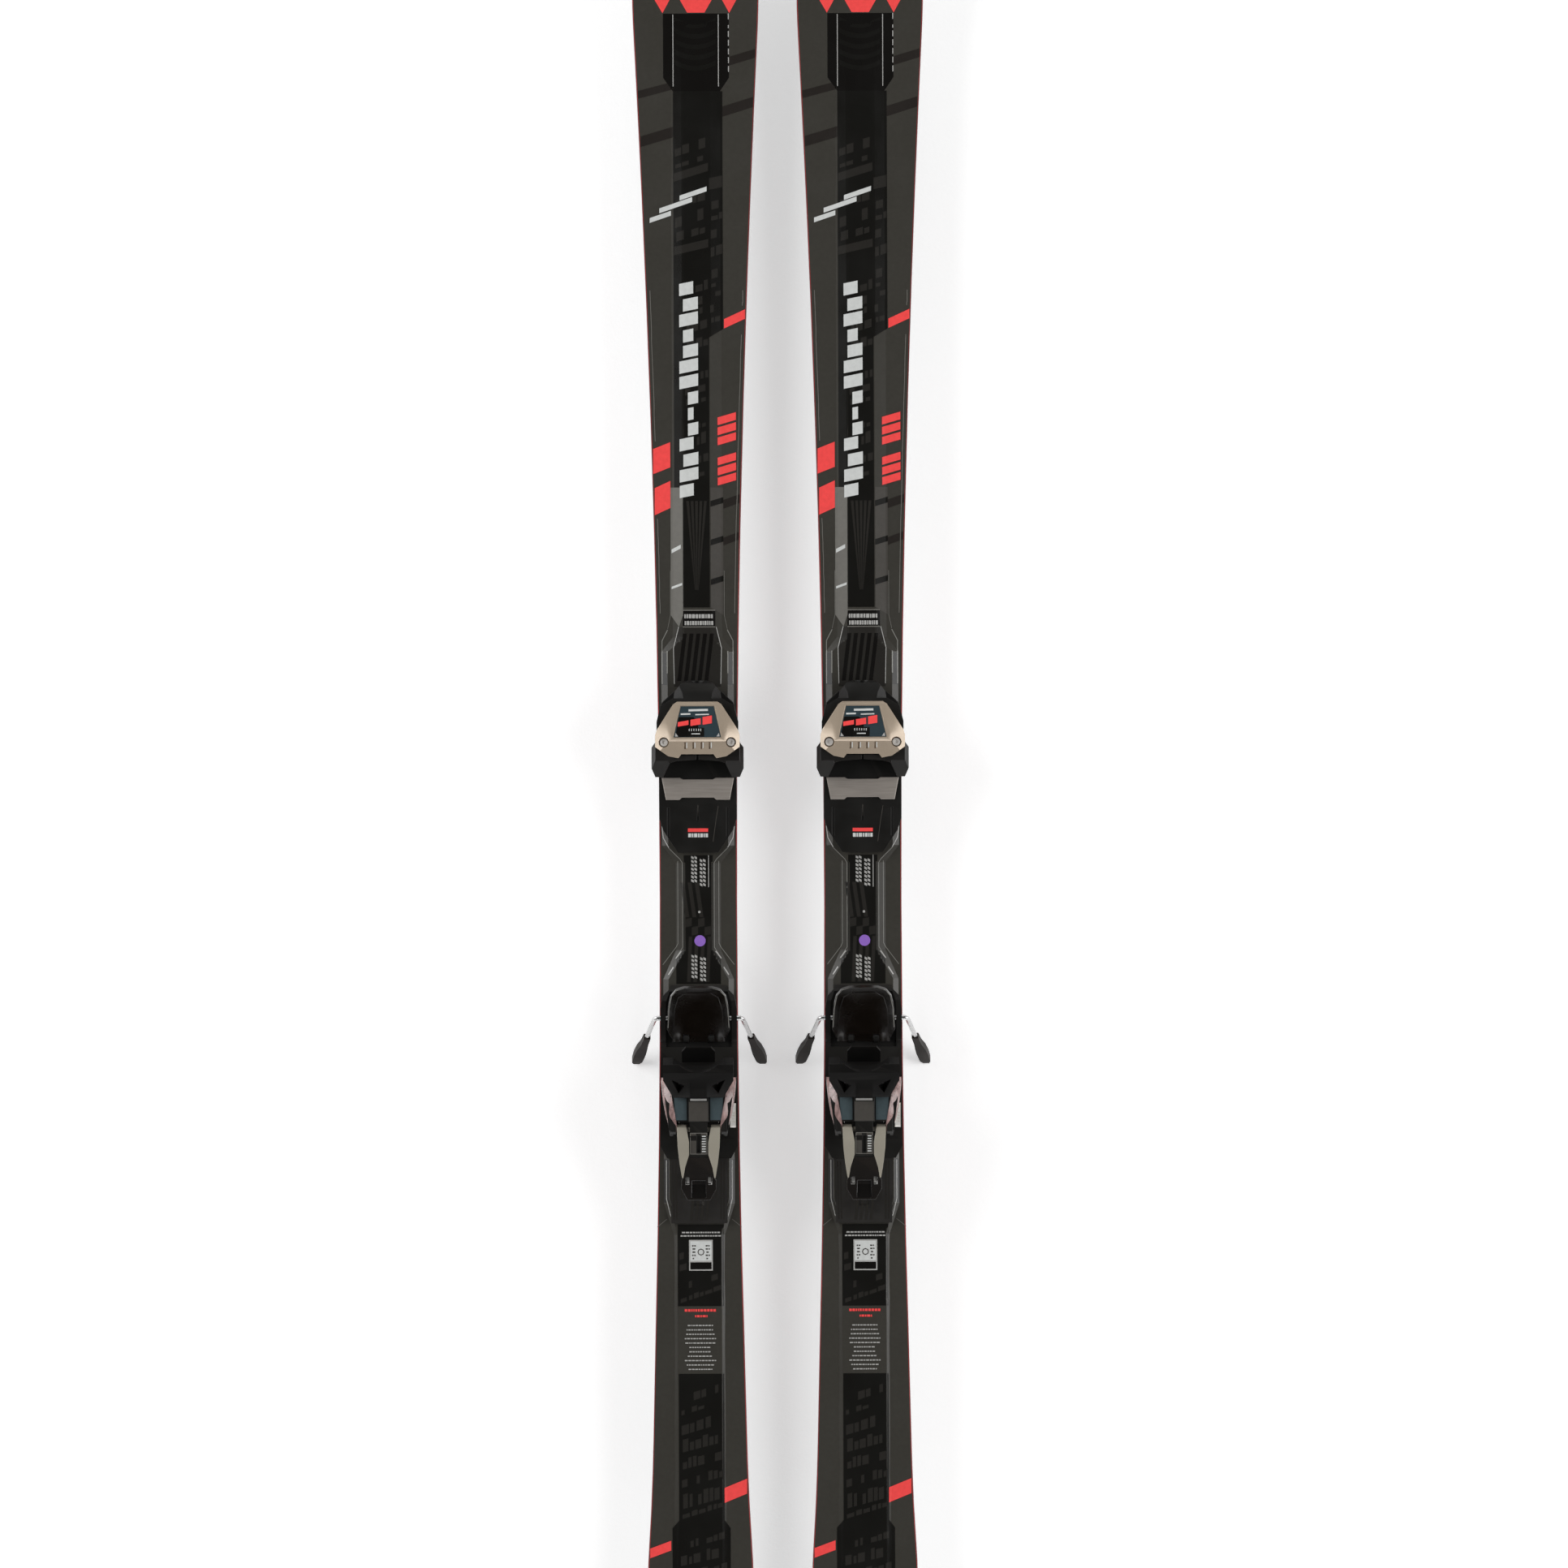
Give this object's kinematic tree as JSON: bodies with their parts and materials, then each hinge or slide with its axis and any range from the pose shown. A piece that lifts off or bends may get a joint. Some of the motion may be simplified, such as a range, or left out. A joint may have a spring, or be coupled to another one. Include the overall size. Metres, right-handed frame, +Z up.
{
  "type": "pair of alpine skis with bindings",
  "caption": "Pair of shaped alpine skis with step-in bindings: sprung toe wings, glide plate, heel cup with opening lever, and spring brakes shown down.",
  "frame": {"origin": "midway between the two skis and halfway along them, at the height of the lowest point of the brakes", "axes": "+Y along the skis towards the tips, +Z up, +X to the right-hand ski"},
  "size_m": [0.3102, 1.77, 0.1496],
  "materials": {
    "ski_base": "ground sintered polyethylene",
    "edge_steel": "ground steel",
    "core_wood": "raw laminated wood",
    "sidewall_red": "satin, red",
    "titanal": "rolled sheet",
    "topsheet": "satin, printed panels",
    "tail_plastic": "moulded",
    "track_plastic": "moulded",
    "screw_steel": "zinc plated",
    "binding_black": "fine moulded grain",
    "glide_metal": "brushed, bead blasted",
    "champagne": "satin metallic paint",
    "wing_black": "satin moulded",
    "pin_steel": "polished",
    "spring_steel": "oiled",
    "heel_body": "satin moulded",
    "lever_metal": "satin metallic paint",
    "pedal_black": "glossy",
    "tab_white": "moulded",
    "wire_steel": "plated wire",
    "brake_plastic": "moulded"
  },
  "bodies": {
    "left_ski": {"left_ski_base_sheet": "ski_base", "left_ski_steel_edges": "edge_steel", "left_ski_wood_core": "core_wood", "left_ski_sidewalls": "sidewall_red", "left_ski_titanal_sheets": "titanal", "left_ski_topsheet": "topsheet", "left_ski_tail_protector": "tail_plastic", "left_ski_binding_tracks": "track_plastic", "left_ski_track_screws": "screw_steel"},
    "left_toe_piece": {"left_ski_toe_base": "binding_black", "left_ski_toe_housing": "binding_black", "left_ski_toe_cap": "champagne", "left_ski_toe_wing_pins": "pin_steel", "left_ski_toe_spring": "spring_steel"},
    "left_wing_left": {"left_ski_toe_wing_left": "wing_black"},
    "left_wing_right": {"left_ski_toe_wing_right": "wing_black"},
    "left_glide_plate": {"left_ski_afd_plate": "glide_metal"},
    "left_toe_screw": {"left_ski_toe_release_screw": "screw_steel"},
    "left_heel_carriage": {"left_ski_heel_carriage": "binding_black", "left_ski_heel_pin": "pin_steel"},
    "left_lock_tab": {"left_ski_heel_lock_tab": "tab_white"},
    "left_heel_unit": {"left_ski_heel_housing": "heel_body", "left_ski_heel_cup": "wing_black", "left_ski_heel_spring": "spring_steel"},
    "left_lever": {"left_ski_heel_lever": "lever_metal", "left_ski_lever_pad": "pedal_black"},
    "left_heel_screw": {"left_ski_heel_release_screw": "screw_steel"},
    "left_pedal": {"left_ski_brake_pedal": "pedal_black"},
    "left_brake": {"left_ski_brake_arms": "wire_steel", "left_ski_brake_tips": "brake_plastic"},
    "right_ski": {"right_ski_base_sheet": "ski_base", "right_ski_steel_edges": "edge_steel", "right_ski_wood_core": "core_wood", "right_ski_sidewalls": "sidewall_red", "right_ski_titanal_sheets": "titanal", "right_ski_topsheet": "topsheet", "right_ski_tail_protector": "tail_plastic", "right_ski_binding_tracks": "track_plastic", "right_ski_track_screws": "screw_steel"},
    "right_toe_piece": {"right_ski_toe_base": "binding_black", "right_ski_toe_housing": "binding_black", "right_ski_toe_cap": "champagne", "right_ski_toe_wing_pins": "pin_steel", "right_ski_toe_spring": "spring_steel"},
    "right_wing_left": {"right_ski_toe_wing_left": "wing_black"},
    "right_wing_right": {"right_ski_toe_wing_right": "wing_black"},
    "right_glide_plate": {"right_ski_afd_plate": "glide_metal"},
    "right_toe_screw": {"right_ski_toe_release_screw": "screw_steel"},
    "right_heel_carriage": {"right_ski_heel_carriage": "binding_black", "right_ski_heel_pin": "pin_steel"},
    "right_lock_tab": {"right_ski_heel_lock_tab": "tab_white"},
    "right_heel_unit": {"right_ski_heel_housing": "heel_body", "right_ski_heel_cup": "wing_black", "right_ski_heel_spring": "spring_steel"},
    "right_lever": {"right_ski_heel_lever": "lever_metal", "right_ski_lever_pad": "pedal_black"},
    "right_heel_screw": {"right_ski_heel_release_screw": "screw_steel"},
    "right_pedal": {"right_ski_brake_pedal": "pedal_black"},
    "right_brake": {"right_ski_brake_arms": "wire_steel", "right_ski_brake_tips": "brake_plastic"}
  },
  "joints": [
    {"name": "left_toe_slide", "type": "slide", "parent": "left_ski", "child": "left_toe_piece", "axis": [0, 1, 0], "range_m": [-0.01, 0.01]},
    {"name": "left_wing_left_turn", "type": "hinge", "parent": "left_toe_piece", "child": "left_wing_left", "pos_m": [-0.1195, 0.0184, 0.09506], "axis": [0, 0, -1], "range_deg": [0, 30], "stiffness_Nm_per_rad": 2, "springref_deg": -22.92},
    {"name": "left_wing_right_turn", "type": "hinge", "parent": "left_toe_piece", "child": "left_wing_right", "pos_m": [-0.0505, 0.0184, 0.09506], "axis": [0, 0, 1], "range_deg": [0, 30], "stiffness_Nm_per_rad": 2, "springref_deg": -22.92},
    {"name": "left_glide_plate_slide", "type": "slide", "parent": "left_toe_piece", "child": "left_glide_plate", "axis": [1, 0, 0], "range_m": [-0.008, 0.008], "stiffness_N_per_m": 400},
    {"name": "left_toe_screw_turn", "type": "hinge", "parent": "left_toe_piece", "child": "left_toe_screw", "pos_m": [-0.085, 0.0697, 0.09506], "axis": [0, 1, 0], "range_deg": [-720, 720]},
    {"name": "left_heel_slide", "type": "slide", "parent": "left_ski", "child": "left_heel_carriage", "axis": [0, 1, 0], "range_m": [-0.015, 0.015]},
    {"name": "left_lock_tab_lift", "type": "hinge", "parent": "left_heel_carriage", "child": "left_lock_tab", "pos_m": [-0.0539, -0.3555, 0.07536], "axis": [-1, 0, 0], "range_deg": [0, 25], "stiffness_Nm_per_rad": 0.02, "springref_deg": -28.65},
    {"name": "left_heel_close", "type": "hinge", "parent": "left_heel_carriage", "child": "left_heel_unit", "pos_m": [-0.085, -0.37, 0.09606], "axis": [-1, 0, 0], "range_deg": [0, 28]},
    {"name": "left_lever_rise", "type": "hinge", "parent": "left_heel_unit", "child": "left_lever", "pos_m": [-0.085, -0.379, 0.12106], "axis": [-1, 0, 0], "range_deg": [0, 23]},
    {"name": "left_heel_screw_turn", "type": "hinge", "parent": "left_heel_unit", "child": "left_heel_screw", "pos_m": [-0.085, -0.376, 0.11106], "axis": [0, 1, 0], "range_deg": [-720, 720]},
    {"name": "left_brake_swing", "type": "hinge", "parent": "left_heel_carriage", "child": "left_brake", "pos_m": [-0.085, -0.266, 0.07506], "axis": [-1, 0, 0], "range_deg": [0, 57], "stiffness_Nm_per_rad": 1.5, "springref_deg": -114.59},
    {"name": "left_pedal_drop", "type": "hinge", "parent": "left_heel_carriage", "child": "left_pedal", "pos_m": [-0.085, -0.287, 0.08046], "axis": [-1, 0, 0], "range_deg": [0, 35]},
    {"name": "right_toe_slide", "type": "slide", "parent": "right_ski", "child": "right_toe_piece", "axis": [0, 1, 0], "range_m": [-0.01, 0.01]},
    {"name": "right_wing_left_turn", "type": "hinge", "parent": "right_toe_piece", "child": "right_wing_left", "pos_m": [0.0505, 0.0184, 0.09506], "axis": [0, 0, -1], "range_deg": [0, 30], "stiffness_Nm_per_rad": 2, "springref_deg": -22.92},
    {"name": "right_wing_right_turn", "type": "hinge", "parent": "right_toe_piece", "child": "right_wing_right", "pos_m": [0.1195, 0.0184, 0.09506], "axis": [0, 0, 1], "range_deg": [0, 30], "stiffness_Nm_per_rad": 2, "springref_deg": -22.92},
    {"name": "right_glide_plate_slide", "type": "slide", "parent": "right_toe_piece", "child": "right_glide_plate", "axis": [1, 0, 0], "range_m": [-0.008, 0.008], "stiffness_N_per_m": 400},
    {"name": "right_toe_screw_turn", "type": "hinge", "parent": "right_toe_piece", "child": "right_toe_screw", "pos_m": [0.085, 0.0697, 0.09506], "axis": [0, 1, 0], "range_deg": [-720, 720]},
    {"name": "right_heel_slide", "type": "slide", "parent": "right_ski", "child": "right_heel_carriage", "axis": [0, 1, 0], "range_m": [-0.015, 0.015]},
    {"name": "right_lock_tab_lift", "type": "hinge", "parent": "right_heel_carriage", "child": "right_lock_tab", "pos_m": [0.1161, -0.3555, 0.07536], "axis": [-1, 0, 0], "range_deg": [0, 25], "stiffness_Nm_per_rad": 0.02, "springref_deg": -28.65},
    {"name": "right_heel_close", "type": "hinge", "parent": "right_heel_carriage", "child": "right_heel_unit", "pos_m": [0.085, -0.37, 0.09606], "axis": [-1, 0, 0], "range_deg": [0, 28]},
    {"name": "right_lever_rise", "type": "hinge", "parent": "right_heel_unit", "child": "right_lever", "pos_m": [0.085, -0.379, 0.12106], "axis": [-1, 0, 0], "range_deg": [0, 23]},
    {"name": "right_heel_screw_turn", "type": "hinge", "parent": "right_heel_unit", "child": "right_heel_screw", "pos_m": [0.085, -0.376, 0.11106], "axis": [0, 1, 0], "range_deg": [-720, 720]},
    {"name": "right_brake_swing", "type": "hinge", "parent": "right_heel_carriage", "child": "right_brake", "pos_m": [0.085, -0.266, 0.07506], "axis": [-1, 0, 0], "range_deg": [0, 57], "stiffness_Nm_per_rad": 1.5, "springref_deg": -114.59},
    {"name": "right_pedal_drop", "type": "hinge", "parent": "right_heel_carriage", "child": "right_pedal", "pos_m": [0.085, -0.287, 0.08046], "axis": [-1, 0, 0], "range_deg": [0, 35]},
    {"name": "right_ski_lift", "type": "slide", "parent": "left_ski", "child": "right_ski", "axis": [0, 0, 1], "range_m": [0, 0.3]}
  ],
  "couplings": [
    {"joint": "left_lever_rise", "follows": "left_heel_close", "ratio": 0.8},
    {"joint": "left_pedal_drop", "follows": "left_brake_swing", "ratio": 0.6},
    {"joint": "right_lever_rise", "follows": "right_heel_close", "ratio": 0.8},
    {"joint": "right_pedal_drop", "follows": "right_brake_swing", "ratio": 0.6}
  ]
}
